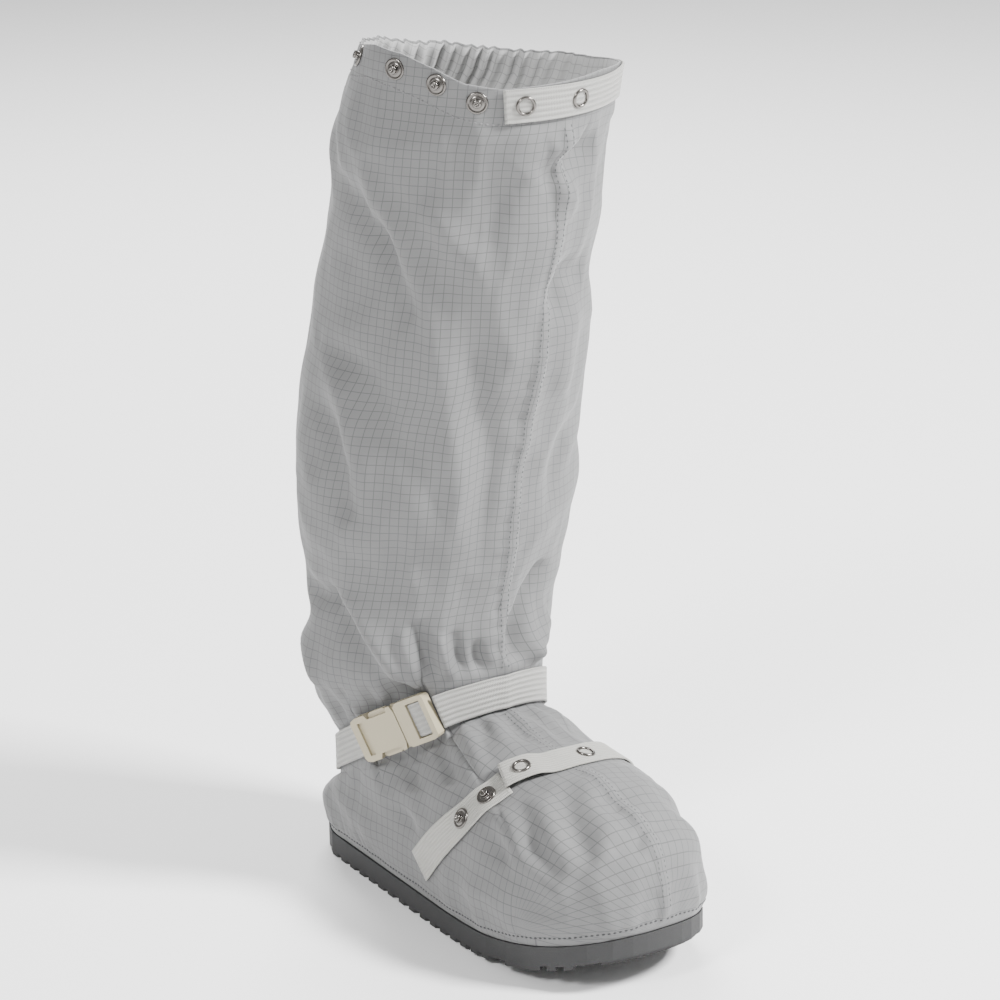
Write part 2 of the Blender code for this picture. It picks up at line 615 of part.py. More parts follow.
def main():
    clear_scene()
    parts = new_collection("cleanroom_boot")
    cutters = new_collection("cutters")
    rubber = material("sole_rubber", (0.10, 0.105, 0.11), 0.75)
    fabric = material("upper_fabric", (0.62, 0.63, 0.64), 0.8)
    board = material("insole_board", (0.55, 0.55, 0.53), 0.85)
    webbing = material("webbing", (0.78, 0.77, 0.73), 0.85)
    plastic = material("buckle_plastic", (0.80, 0.76, 0.66), 0.45)
    nickel = material("snap_metal", (0.62, 0.60, 0.57), 0.3, 1.0)
    make_outsole(parts, cutters, rubber)
    make_insole(parts, board)
    make_upper(parts, fabric)
    make_strap(parts, webbing)
    make_buckle(parts, cutters, plastic)
    tree = cloth_tree()
    make_tape("instep_stud_tape", STUD_ROUTE, TAPE_HALF, tree, parts, webbing)
    make_tape("instep_ring_tape", RING_ROUTE, TAPE_HALF, tree, parts, webbing, below=STUD_ROUTE)
    make_tape("collar_strap", COLLAR_ROUTE, COLLAR_HALF, tree, parts, webbing)
    on_tape = TAPE_STAND + TAPE_THICK + SNAP_STAND
    for i, spot in enumerate(INSTEP_STUDS):
        make_snap(f"instep_stud_{i + 1}", STUD_PROFILE, spot, on_tape, tree, parts, nickel)
    for i, spot in enumerate(COLLAR_STUDS):
        make_snap(f"collar_stud_{i + 1}", STUD_PROFILE, spot, SNAP_STAND, tree, parts, nickel)
    for i, spot in enumerate(INSTEP_RINGS):
        stacked = STACK_CLEAR if i == 0 else 0.0
        make_snap(f"instep_ring_{i + 1}", RING_PROFILE, spot, on_tape + stacked, tree, parts, nickel)
    for i, spot in enumerate(COLLAR_RINGS):
        ridge = SEAM_CLEAR * max(0.0, min(1.0, 1.5 - abs(spot[0]) / 10))
        make_snap(f"collar_ring_{i + 1}", RING_PROFILE, spot, on_tape + ridge, tree, parts, nickel)


main()
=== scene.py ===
"""Looks of a right cleanroom boot: creased gridded cloth, webbing, buckle, snaps and rubber sole.

Metres in the row frame: +Z up, toe towards -Y, outer side towards -X. Tables of places and of cloth
folds are in millimetres.
"""
import math

import bmesh
import bpy
import numpy as np
from mathutils import Matrix, Vector, noise
from mathutils.bvhtree import BVHTree


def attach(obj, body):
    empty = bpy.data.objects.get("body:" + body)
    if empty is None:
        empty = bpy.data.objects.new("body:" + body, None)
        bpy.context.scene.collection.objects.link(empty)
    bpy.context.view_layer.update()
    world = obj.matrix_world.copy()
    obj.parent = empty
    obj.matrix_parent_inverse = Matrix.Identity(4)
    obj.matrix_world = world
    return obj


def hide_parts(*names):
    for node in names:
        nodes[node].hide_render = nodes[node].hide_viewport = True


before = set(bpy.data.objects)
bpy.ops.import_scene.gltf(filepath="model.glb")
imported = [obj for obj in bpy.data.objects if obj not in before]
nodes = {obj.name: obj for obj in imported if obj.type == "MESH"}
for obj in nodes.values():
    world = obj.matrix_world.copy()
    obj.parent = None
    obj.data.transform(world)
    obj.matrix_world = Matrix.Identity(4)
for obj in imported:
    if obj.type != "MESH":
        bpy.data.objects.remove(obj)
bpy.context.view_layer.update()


# The upper is the foot and the tall shaft, of thin pale woven cloth with one seam down the front.
# It is stitched to the sole's rim, gathered by the ankle strap, and hemmed at the collar, with
# elastic at the back. Its smooth form has columns round the boot and rows from the sole to the collar.
MM = 0.001
SOLE_TOP, RIM_INSET = 0.0141, 0.0012
SOLE_LINES = [-145, -132, -118, -104, -89, -73, -55, -36, -14, 145]
SPRING_FROM, SPRING_RUN, SPRING_LIFT = -0.014, 0.131, 0.021
BALL_AT, TOE_REACH, TOE_ROUND = -0.060, 0.085, 2.45
HEEL_AT, HEEL_REACH, HEEL_ROUND = 0.100, 0.045, 2.2
STRAP_WIDE, STRAP_LONG, STRAP_MIDDLE = 0.0555, 0.0648, 0.0675
STRAP_SLOPE, STRAP_FRONT, STRAP_HEIGHT = 0.574, 0.003, 0.125
BUCKLE_FROM, BUCKLE_TO, BUCKLE_FLAT = math.radians(39), math.radians(84), 0.0010
HELD_HALF, HELD_AT_BUCKLE, FOOT_BULGE = 0.012, 0.0040, 0.0030
HEM_HEIGHT, HEM_STEP = 0.020, 0.0008
FOOT_PROFILE = [  # shares of the way in and of the way up, from the sole's rim to the strap
    (0.0, 0.0), (0.0, 0.13), (0.018, 0.25), (0.042, 0.38), (0.083, 0.52), (0.14, 0.61), (0.21, 0.685),
    (0.30, 0.745), (0.42, 0.80), (0.56, 0.85), (0.72, 0.90), (0.86, 0.952), (1.0, 1.0),
]
SHAFT = [  # front y and z, back y and z, half width, shift of the middle
    (3, 153, 137, 92, 65.0, -4), (4, 169, 139, 123, 69.0, -4), (2, 187, 136, 155, 71.0, -1),
    (-3, 207, 137, 185, 75.0, 0), (-9, 230, 139, 215, 79.0, -1), (-14, 257, 140, 248, 80.0, -1),
    (-20, 284, 139, 279, 78.0, -1), (-31, 311, 137, 307, 73.0, 0), (-38, 336, 133, 334, 69.0, -1),
    (-46, 374, 123, 374, 65.0, -3), (-53, 404, 111, 404, 66.0, -3), (-57, 430, 105, 430, 67.5, -4),
    (-60, 448, 98, 448, 69.0, -4),
]
HEM_SECTION, EDGE_SECTION = (-62, 460, 90, 460, 68.0, -1), (-64, 480, 78, 480, 66.0, 1)
COLLAR_EDGE = [  # degrees round from the front over the outer side, height of the edge
    (0, 481), (32, 479), (48, 482), (62, 489), (78, 494.5), (95, 496), (120, 491), (150, 488),
    (180, 480), (225, 472), (270, 474), (315, 481), (340, 483), (360, 481),
]


def toe_spring(y):
    """Lift of the sole at a place along it, in straight runs from line to line."""
    lines = np.array(SOLE_LINES) * MM
    lift = np.clip((SPRING_FROM - lines) / SPRING_RUN, 0, None) ** 2 * SPRING_LIFT
    return np.interp(y, lines, lift)


def sole_edge(outer):
    """One side of the upper's lower edge, toe to heel, and the share of its length reached."""
    ball, heel, sign = (0.0614, 0.0490, -1) if outer else (0.0546, 0.0440, 1)
    t = np.linspace(0, math.pi / 2, 40)
    toe = np.stack([(ball - RIM_INSET) * np.sin(t) ** (2 / TOE_ROUND),
                    BALL_AT - (TOE_REACH - RIM_INSET) * np.cos(t) ** (2 / TOE_ROUND)], 1)
    back = np.stack([(heel - RIM_INSET) * np.cos(t) ** (2 / HEEL_ROUND),
                     HEEL_AT + (HEEL_REACH - RIM_INSET) * np.sin(t) ** (2 / HEEL_ROUND)], 1)
    points = np.concatenate([toe, back]) * [sign, 1]
    length = np.concatenate([[0], np.cumsum(np.hypot(*np.diff(points, axis=0).T))])
    return points, length / length[-1]


def rim(phi):
    """Points of the upper's lower edge at turns round the boot."""
    turn = np.where(phi <= math.pi, phi, 2 * math.pi - phi) / (math.pi / 2)
    share = np.where(turn <= 1, 0.685 * (0.56 * turn + 0.44 * turn * turn), 0.685 + 0.315 * (turn - 1))
    sides = []
    for outer in (True, False):
        points, length = sole_edge(outer)
        sides.append(np.stack([np.interp(share, length, points[:, k]) for k in (0, 1)], 1))
    xy = np.where((phi <= math.pi)[:, None], sides[0], sides[1])
    return np.column_stack([xy, SOLE_TOP + toe_spring(xy[:, 1])])


def unit(v):
    return v / np.linalg.norm(v, axis=-1, keepdims=True)


def strap_path(phi):
    """Centre, outward and width directions of the ankle strap, with the flat behind the buckle."""
    plan = np.stack([-STRAP_WIDE * np.sin(phi), STRAP_MIDDLE - STRAP_LONG * np.cos(phi)], 1)
    along = np.stack([-STRAP_WIDE * np.cos(phi), STRAP_LONG * np.sin(phi), 0 * phi], 1)
    out = unit(np.stack([-np.sin(phi) / STRAP_WIDE, -np.cos(phi) / STRAP_LONG, 0 * phi], 1))
    ends = np.array([[-STRAP_WIDE * math.sin(t), STRAP_MIDDLE - STRAP_LONG * math.cos(t)]
                     for t in (BUCKLE_FROM, BUCKLE_TO)])
    run = unit(ends[1] - ends[0])
    across = np.array([-run[1], run[0]])
    flat = (phi > BUCKLE_FROM) & (phi < BUCKLE_TO)
    over = np.clip((plan - ends[0]) @ across - BUCKLE_FLAT, 0, None) * flat
    plan = plan - over[:, None] * across
    along = np.where(flat[:, None], [run[0], run[1], 0], along)
    out = np.where(flat[:, None], [across[0], across[1], 0], out)
    along[:, 2] = -STRAP_SLOPE * along[:, 1]
    along = unit(along)
    centre = np.column_stack([plan, STRAP_HEIGHT - STRAP_SLOPE * (plan[:, 1] - STRAP_FRONT)])
    return centre, out, np.cross(along, out)


def section(row, phi):
    """A tilted ellipse of cloth round the shaft."""
    front_y, front_z, back_y, back_z, half, shift = row
    c = np.cos(phi)
    return np.stack([shift - half * np.sin(phi), (front_y + back_y) / 2 - (back_y - front_y) / 2 * c,
                     (front_z + back_z) / 2 + (front_z - back_z) / 2 * c], 1) * MM


def form_rows(phi):
    """Control rows of the smooth upper, sole edge to collar edge: array (rows, columns, 3)."""
    centre, out, width = strap_path(phi)
    middle, reach = (BUCKLE_FROM + BUCKLE_TO) / 2, (BUCKLE_TO - BUCKLE_FROM) / 2
    half = HELD_HALF + HELD_AT_BUCKLE * np.clip(2.6 - 1.6 * np.abs(phi - middle) / reach, 0, 1)
    foot, top = rim(phi), centre - width * half[:, None]
    bulge = FOOT_BULGE + 0.0005 * (0.5 - 0.5 * np.cos(phi))
    rows = []
    for share_in, share_up in FOOT_PROFILE:
        point = foot + (top - foot) * share_in
        point[:, 2] = foot[:, 2] + (top[:, 2] - foot[:, 2]) * share_up
        rows.append(point + out * (bulge * math.sin(math.pi * share_up))[:, None])
    rows.append(centre)
    rows.append(centre + width * half[:, None])
    rows += [section(row, phi) for row in SHAFT]
    edge, band = section(EDGE_SECTION, phi), section(HEM_SECTION, phi)
    edge[:, 2] = np.interp(np.degrees(phi) % 360, *zip(*COLLAR_EDGE)) * MM
    band[:, 2] = edge[:, 2] - HEM_HEIGHT
    step = np.stack([-np.sin(phi), -np.cos(phi), 0 * phi], 1) * HEM_STEP
    return np.array(rows + [band, band * 0.4 + edge * 0.6 + step, edge + step])


def spread(rows, counts):
    """Smooth rows through the control rows, with counts[i] steps between rows i and i + 1."""
    out = []
    for i, count in enumerate(counts):
        p = [rows[min(max(k, 0), len(rows) - 1)] for k in (i - 1, i, i + 1, i + 2)]
        for t in np.arange(count) / count:
            out.append(0.5 * (2 * p[1] + (p[2] - p[0]) * t + (2 * p[0] - 5 * p[1] + 4 * p[2] - p[3]) * t * t
                              + (3 * p[1] - p[0] - 3 * p[2] + p[3]) * t ** 3))
    return np.array(out + [rows[-1]])


def grid_normals(points):
    """Outward normals of a (rows, columns, 3) grid that closes round its columns."""
    up = np.gradient(points, axis=0)
    side = np.roll(points, -1, axis=1) - np.roll(points, 1, axis=1)
    return unit(np.cross(up, side))


COLUMNS, CLOSER_IN_FRONT = 330, 0.22
FOOT_STEPS, HELD_STEPS, SHAFT_STEPS, HEM_STEPS = [4] + [6] * 10 + [5], [4, 4], [9] * 13, [7] * 3
turns = np.linspace(0, 2 * math.pi, COLUMNS, endpoint=False)
turns = turns - CLOSER_IN_FRONT * np.sin(turns)
smooth = spread(form_rows(turns), FOOT_STEPS + HELD_STEPS + SHAFT_STEPS + HEM_STEPS)
normals = grid_normals(smooth)
base = smooth * 1000
strap_row = sum(FOOT_STEPS) + HELD_STEPS[0]
climb = np.cumsum(np.linalg.norm(np.diff(base, axis=0), axis=2), axis=0)
rise = np.concatenate([np.zeros((1, COLUMNS)), climb])
from_strap = rise - rise[strap_row]
from_edge = rise[-1] - rise

# The cloth's main folds: height out of the smooth form, widths to the left and right of the line
# that the fold follows, then that line.
SHAFT_FOLDS = [  # degrees round from the front over the outer side, height above the floor
    (-3.2, 4, 9, [(90, 185), (75, 165), (60, 145), (50, 125)]),
    (2.4, 7, 9, [(75, 185), (65, 165), (55, 145), (45, 128)]),
    (-3, 8, 4, [(-26, 195), (-20, 180), (-11, 162), (-3, 140)]),
    (2.4, 5, 8, [(-44, 155), (-26, 143), (-18, 130)]),
    (-2.6, 9, 5, [(105, 423), (87, 401), (76, 387), (65, 368), (58, 349)]),
    (2.2, 7, 11, [(90, 432), (75, 407), (61, 383), (50, 355), (45, 329)]),
    (1.6, 6, 10, [(58, 416), (48, 403), (38, 389), (26, 368)]),
    (-2.2, 8, 8, [(100, 295), (80, 273), (70, 232)]),
    (1.6, 9, 9, [(105, 324), (84, 302), (70, 277), (60, 234)]),
    (-2.4, 8, 8, [(8, 428), (-3, 435), (-14, 440), (-25, 444)]),
    (1.8, 6, 6, [(5, 444), (-5, 448), (-15, 448)]),
    (1.8, 5, 6, [(1, 427), (-8, 419), (-13, 408)]),
    (-2.8, 7, 7, [(-31, 372), (-14, 370), (-4, 354)]),
    (1.6, 8, 8, [(-27, 353), (-15, 332), (-15, 298)]),
    (-1.6, 8, 8, [(-32, 286), (-23, 255), (-20, 222)]),
    (1.5, 12, 12, [(70, 210), (50, 235), (35, 247)]),
    (2, 10, 10, [(123, 145), (108, 134), (104, 118)]),
    (-2.4, 5, 5, [(110, 174), (95, 178), (85, 174)]),
    (-1.8, 3.5, 3.5, [(40, 173), (38, 158), (33, 140)]),
    (-2, 3, 3, [(22, 165), (22, 150), (21, 137)]),
    (1.5, 4, 4, [(28, 165), (27, 152), (27, 138)]),
    (-1.5, 3, 3, [(11, 157), (12, 147), (13, 137)]),
    (1.5, 4, 4, [(46, 166), (43, 152), (40, 135)]),
    (-1.6, 3, 3, [(82, 125), (92, 107), (97, 95)]),
    (-1.8, 6, 8, [(18, 435), (29, 415), (31, 390)]),
    (-1.8, 7, 10, [(108, 323), (78, 317), (60, 295), (44, 263)]),
    (1.7, 9, 9, [(47, 340), (36, 302), (27, 263), (22, 223)]),
    (-1.7, 6, 8, [(30, 335), (16, 290), (13, 245), (16, 200)]),
]
TOP_FOLDS = [  # x and y on top of the foot
    (3, 6, 6, [(-26, 10), (-29, -8), (-36, -34)]),
    (-2.4, 4, 3, [(-17, 6), (-22, -8), (-32, -31)]),
    (1.8, 4, 4, [(-8, 4), (-15, -13), (-21, -32)]),
    (-1.6, 3, 3, [(-2, 3), (-5, -15), (-9, -34)]),
    (-2, 3, 4, [(0, -12), (2, -30), (3, -48)]),
    (-1.8, 3, 5, [(8, 3), (14, -14), (17, -30), (17, -44)]),
    (2.2, 5, 5, [(11, 4), (24, 8), (29, -1), (28, -17)]),
    (2.6, 6, 6, [(-31, -72), (-39, -94), (-43, -112), (-41, -122)]),
    (-2, 5, 5, [(-18, -76), (-30, -100), (-34, -117), (-32, -126)]),
    (2.4, 6, 6, [(-3, -78), (-16, -103), (-18, -123), (-10, -132)]),
    (-1.8, 3, 4, [(-24, -127), (-14, -129), (-5, -131)]),
]
SIDE_FOLDS = [  # y and height on the foot's outer side
    (-2.4, 3.5, 4.5, [(28, 95), (25, 84), (20, 72)]),
    (-1.6, 3, 3, [(38, 90), (37, 78), (40, 63)]),
    (-2, 4, 4, [(14, 105), (0, 93), (-16, 86)]),
    (2.6, 5, 6, [(-60, 88), (-75, 80), (-92, 70), (-110, 60), (-120, 55)]),
    (-2.2, 5, 5, [(-68, 90), (-87, 80), (-105, 71), (-117, 65)]),
    (-1.8, 4, 4, [(34, 60), (21, 55), (6, 52)]),
    (-1.6, 4, 5, [(-58, 80), (-70, 71), (-83, 67)]),
    (1.4, 8, 8, [(-20, 37), (-60, 41), (-92, 40)]),
    (1.6, 8, 8, [(103, 42), (74, 40), (50, 28)]),
]
SHAFT_STRENGTH, FOOT_STRENGTH, FOOT_TOP = 3.1, 1.5, 125
FOLD_REACH, FOLD_CREST = 28, 1.8
TOP_INNER_LIMIT, SIDE_INNER_LIMIT = 40, 0
flat_base, flat_normals = base.reshape(-1, 3), normals.reshape(-1, 3)


def to_line(points, line, facing):
    """Distance to a polyline, the side it lies on and the share of its length reached."""
    best = np.full(len(points), 1e9)
    side, share = np.zeros(len(points)), np.zeros(len(points))
    line = np.array(line, float)
    for k in range(len(line) - 1):
        a, d = line[k], line[k + 1] - line[k]
        t = np.clip((points - a) @ d / (d @ d), 0, 1)
        off = points - a - t[:, None] * d
        dist = np.linalg.norm(off, axis=1)
        near = dist < best
        best = np.where(near, dist, best)
        turn = np.einsum("ij,ij->i", np.cross(facing, d), off)
        side = np.where(near, turn, side)
        share = np.where(near, (k + t) / (len(line) - 1), share)
    return best, side, share


def on_shaft(turn, height):
    column = np.argmin(np.abs(np.angle(np.exp(1j * (turns - math.radians(turn))))))
    return base[strap_row + np.argmin(np.abs(base[strap_row:, column, 2] - height)), column]


def on_foot(axes, here, inner_limit):
    """The foot cloth's point nearest to a place that is given on two axes."""
    foot_cloth = base[:strap_row].reshape(-1, 3)
    foot_cloth = foot_cloth[foot_cloth[:, 0] < inner_limit]
    return foot_cloth[np.argmin(np.sum((foot_cloth[:, axes] - here) ** 2, axis=1))]


folds = [(*form, [on_shaft(*place) for place in line]) for *form, line in SHAFT_FOLDS]
folds += [(*form, [on_foot([0, 1], place, TOP_INNER_LIMIT) for place in line]) for *form, line in TOP_FOLDS]
folds += [(*form, [on_foot([1, 2], place, SIDE_INNER_LIMIT) for place in line]) for *form, line in SIDE_FOLDS]
relief = np.zeros(len(flat_base))
for height, left, right, line in folds:
    line = spread(np.array(line, float), [7] * (len(line) - 1))
    close = np.all((flat_base > line.min(0) - FOLD_REACH) & (flat_base < line.max(0) + FOLD_REACH), axis=1)
    dist, side, share = to_line(flat_base[close], line, flat_normals[close])
    wide = np.where(side > 0, left, right)
    ends = np.sin(np.pi * np.clip(share, 0, 1)) ** 0.6
    strength = SHAFT_STRENGTH if line[:, 2].mean() > FOOT_TOP else FOOT_STRENGTH
    crest = np.exp(-((np.hypot(dist, FOLD_CREST) - FOLD_CREST) / wide) ** 1.5)
    relief[close] += strength * height * ends * crest

# Gathers spread up and down from the strap. They are waves round the ankle that die away from it.
GATHER_WAVES = [(17, 1.0, 0.3), (23, 0.8, 1.9), (29, 0.9, 4.1), (37, 0.6, 2.2), (13, 0.7, 5.0)]
GATHER_HEIGHT, BELOW_SHARE, ABOVE_FADE, BELOW_FADE = 1.15, 0.95, 28, 20
phi = np.broadcast_to(turns, rise.shape).ravel()
strap_gap = from_strap.ravel()
above = np.clip(strap_gap, 0, None)
below = np.clip(-strap_gap, 0, None)
gathers = sum(a * np.cos(n * phi + p + 0.35 * np.sin(3 * phi + p)) for n, a, p in GATHER_WAVES)
held = np.clip((np.abs(strap_gap) - 9) / 12, 0.04, 1)
relief += held * GATHER_HEIGHT * gathers * (np.exp(-above / ABOVE_FADE) * (strap_gap > 0)
                                            + BELOW_SHARE * np.exp(-below / BELOW_FADE) * (strap_gap <= 0))

# Fine puckers: along the sole's stitching, over the collar's elastic, and down the seam, which also
# stands up as a ridge. Stitched lines are pulled in a little.
BASE_STITCH_AT, HEM_STITCH_AT, SEAM_HALF = 5.0, 19.5, 3.4
sole_gap = rise.ravel()
fine = 0.28 * np.sin(61 * phi + 2 * np.sin(7 * phi)) * np.exp(-((sole_gap - 9) / 7) ** 2)
fine -= 0.45 * np.exp(-((sole_gap - BASE_STITCH_AT) / 1.3) ** 2)
edge_gap = from_edge.ravel()
at_back = np.clip(np.cos(phi - math.radians(200)) + 0.15, 0, 1)
elastic = np.sin(58 * phi + 1.5 * np.sin(5 * phi)) + 0.5 * np.sin(83 * phi + 1)
fine += at_back * elastic * np.exp(-(edge_gap / 22) ** 4)
fine -= 0.45 * np.exp(-((edge_gap - HEM_STITCH_AT) / 1.5) ** 2)
in_front = flat_base[:, 1] < 40
ridge = np.exp(-(flat_base[:, 0] / SEAM_HALF) ** 4) * in_front * (edge_gap > 21) * (sole_gap > 6)
ridge *= np.abs(strap_gap) > 9
beside = np.exp(-((np.abs(flat_base[:, 0]) - 5.5) / 3.5) ** 2) * in_front * (edge_gap > 22)
fine += ridge * (1.35 + 0.2 * np.sin(sole_gap / 1.9)) + beside * 0.42 * np.sin(sole_gap / 1.75 + phi * 9)

# Worn cloth: soft waves, sharper rumples and small ones on top of the folds.
SOFT_HEIGHT, CRISP_HEIGHT, SMALL_HEIGHT = 2.9, 1.6, 0.42
soft = np.array([noise.noise(Vector(p) / 46) + 0.45 * noise.noise(Vector(p) / 19 + Vector((7, 3, 1)))
                 for p in flat_base])
crisp = np.array([1 - 2.4 * abs(noise.noise(Vector((p[0], p[1], p[2] * 0.55)) / 24 + Vector((1, 9, 4))))
                  for p in flat_base])
small = np.array([1 - 2.4 * abs(noise.noise(Vector((p[0], p[1], p[2] * 0.7)) / 12.5 + Vector((5, 2, 8))))
                  for p in flat_base])
relief += SOFT_HEIGHT * soft + CRISP_HEIGHT * crisp + SMALL_HEIGHT * small

# The cloth lies flat under the tapes and the strap and at the sole. These are the tapes' middle
# lines, the two instep ones from or to the sole's edge.
STUD_ROUTE = [(-57.5, 3.7, 34), (-59.2, -16.2, 54.8), (-57, -36.9, 75.5), (-45.8, -46.5, 89.9),
              (-36, -49.5, 95.3)]
RING_ROUTE = [(-35.3, -46.9, 96.1), (-25.6, -51.8, 99.1), (-9.6, -55.9, 101.4), (12.2, -55.6, 101.1),
              (26, -52, 97), (42, -40, 80), (50, -20, 56), (50, -2, 34)]
COLLAR_ROUTE = [(-32.8, -52.5, 470.5), (-23.2, -57.7, 471), (-9.7, -61.6, 471.5), (6.5, -62, 471.8),
                (23.2, -57.6, 472), (43, -44, 472.5), (57, -24, 470), (65, 0, 465.5)]
quiet = np.ones(len(relief))
for route in (STUD_ROUTE, RING_ROUTE, COLLAR_ROUTE):
    dist, _, _ = to_line(flat_base, route, flat_normals)
    quiet = np.minimum(quiet, np.clip((dist - 9) / 9, 0.12, 1))
quiet = np.minimum(quiet, np.clip((np.abs(strap_gap) - 10) / 8, 0.05, 1))
quiet = np.minimum(quiet, np.clip(sole_gap / 7, 0.0, 1))
relief = (relief * quiet).reshape(rise.shape)
for _ in range(2):
    relief = (np.roll(relief, 1, axis=1) + 2 * relief + np.roll(relief, -1, axis=1)) / 4
    relief[1:-1] = (relief[:-2] + 4 * relief[1:-1] + relief[2:]) / 6
relief = relief.ravel() + fine * quiet
skin = (flat_base + flat_normals * relief[:, None]).reshape(base.shape) / 1000

# The hem turns in over the collar's edge: rise, way inwards, and cloth used from the edge.
LIP_ROWS = [(0.15, 0.35, 0.4), (0.2, 0.9, 0.9), (-0.6, 1.35, 1.5), (-6, 1.6, 7), (-13, 2.1, 14),
            (-20, 2.9, 21), (-26, 3.8, 27)]
inward = -normals[-1]
ripple = 0.5 * np.sin(58 * turns + 1.5 * np.sin(5 * turns)) * np.clip(np.cos(turns - 3.5) + 0.2, 0, 1)
lip = []
for lift, pull, _ in LIP_ROWS:
    line = skin[-1] + inward * pull * MM
    line[:, 2] += lift * MM
    line -= inward * (ripple * np.clip(-lift / 5, 0, 1) * MM)[:, None]
    if lift < -1:
        down = int(np.interp(-lift, [0, 8, 20, 27], [0, 7, 14, 19]))
        line[:, :2] += (skin[-1 - down] - skin[-1])[:, :2]
    lip.append(line)
grid = np.concatenate([skin, np.array(lip)])


def quads_of(rows, columns):
    """Outward faces of a grid that closes round its columns."""
    near = np.arange(rows * columns).reshape(rows, columns)
    far = np.roll(near, -1, axis=1)
    return np.stack([far[:-1], far[1:], near[1:], near[:-1]], axis=2).reshape(-1, 4)


# The yarns follow the cut cloth, in millimetres: round and up the shaft, and along and over the foot,
# where they turn round the heel with the cloth.
YARN_LEVEL, FOOT_RADIUS, FOOT_CORE = 300, 54, 28
TOE_FROM, TOE_RADIUS, TOE_CORE, HEEL_FROM = -92, 46, 30, 60
walked = np.cumsum(np.linalg.norm(np.diff(base[:, :, :2], axis=1), axis=2), axis=1)
around = np.concatenate([np.zeros((len(base), 1)), walked], axis=1)
total = around[:, -1:] + np.linalg.norm(base[:, :1, :2] - base[:, -1:, :2], axis=2)
across = np.where(around > total / 2, around - total, around)
level = [np.interp(YARN_LEVEL, base[strap_row:, k, 2], rise[strap_row:, k]) for k in range(COLUMNS)]
upward = rise - np.array(level)
x, y, z = base[:, :, 0], base[:, :, 1], base[:, :, 2]
over_toe = TOE_FROM - TOE_RADIUS * np.arctan2(-(y - TOE_FROM), np.maximum(z - TOE_CORE, 1))
along_foot = np.where(y > TOE_FROM, y, over_toe)
wide = x.copy()
for row in range(strap_row):
    for half in (turns <= math.pi, turns >= math.pi):
        run = np.abs(across[row, half])
        order = np.argsort(run)
        begin = np.interp(HEEL_FROM, y[row, half][order], run[order])
        breadth = np.interp(begin, run[order], x[row, half][order])
        behind = y[row, half] > HEEL_FROM
        along_foot[row, half] = np.where(behind, HEEL_FROM + run - begin, along_foot[row, half])
        wide[row, half] = np.where(behind, breadth, x[row, half])
girth = FOOT_RADIUS * np.arctan2(wide, np.maximum(z - FOOT_CORE, -20))
foot = (np.arange(len(base)) < strap_row)[:, None]
cloth = np.stack([np.where(foot, girth, across), np.where(foot, along_foot, upward)], axis=2)
cloth = np.concatenate([cloth, np.repeat(cloth[-1:], len(lip), axis=0)])
for k, (_, _, used) in enumerate(LIP_ROWS):
    cloth[len(base) + k, :, 1] += used


def new_piece(name, points, faces):
    """A smooth-shaded mesh, linked to the scene."""
    mesh = bpy.data.meshes.new(name)
    mesh.from_pydata(points, [], faces)
    mesh.shade_smooth()
    piece = bpy.data.objects.new(name, mesh)
    bpy.context.scene.collection.objects.link(piece)
    return piece


def write_places(piece, name, places):
    """Flat coordinates in millimetres for the piece's shader, a pair for each point."""
    spots = piece.data.attributes.new(name, "FLOAT_VECTOR", "POINT")
    spots.data.foreach_set("vector", np.column_stack([places, np.zeros(len(places))]).ravel())


upper = new_piece("upper_skin", grid.reshape(-1, 3).tolist(), quads_of(len(grid), COLUMNS).tolist())
write_places(upper, "cloth", cloth.reshape(-1, 2))
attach(upper, "root")
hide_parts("upper")

# The cloth's finish: a dark yarn every 5 mm both ways in a pale fine weave, with small crumples.
YARN_PITCH, YARN_SHARPNESS, YARN_DARKNESS, WEAVE_PITCH = 5.0, 16.0, 0.62, 12.0


def math_node(tree, operation, first, second=None):
    node = tree.nodes.new("ShaderNodeMath")
    node.operation = operation
    for index, value in ((0, first), (1, second)):
        if isinstance(value, (int, float)):
            node.inputs[index].default_value = value
        elif value is not None:
            tree.links.new(value, node.inputs[index])
    return node.outputs[0]


def effect_group(name, values, results):
    """An empty shader group that reads a place and named values: its tree, input and output nodes."""
    tree = bpy.data.node_groups.new(name, "ShaderNodeTree")
    tree.interface.new_socket("Place", in_out="INPUT", socket_type="NodeSocketVector")
    for socket in values:
        tree.interface.new_socket(socket, in_out="INPUT", socket_type="NodeSocketFloat")
    for socket in results:
        tree.interface.new_socket(socket, in_out="OUTPUT", socket_type="NodeSocketFloat")
    return tree, tree.nodes.new("NodeGroupInput"), tree.nodes.new("NodeGroupOutput")


def lay_effect(tree, group, place, **values):
    """Places a group in a material, with that material's own values."""
    node = tree.nodes.new("ShaderNodeGroup")
    node.node_tree = group
    tree.links.new(place, node.inputs["Place"])
    for socket, value in values.items():
        node.inputs[socket].default_value = value
    return node


def raise_surface(tree, height, strength, distance):
    bump = tree.nodes.new("ShaderNodeBump")
    bump.inputs["Strength"].default_value = strength
    bump.inputs["Distance"].default_value = distance
    tree.links.new(height, bump.inputs["Height"])
    tree.links.new(bump.outputs["Normal"], tree.nodes["Principled BSDF"].inputs["Normal"])


def mix_colours(tree, factor, colour, other):
    mix = tree.nodes.new("ShaderNodeMix")
    mix.data_type = "RGBA"
    mix.inputs["A"].default_value = (*colour, 1)
    mix.inputs["B"].default_value = (*other, 1)
    tree.links.new(factor, mix.inputs["Factor"])
    tree.links.new(mix.outputs["Result"], tree.nodes["Principled BSDF"].inputs["Base Color"])


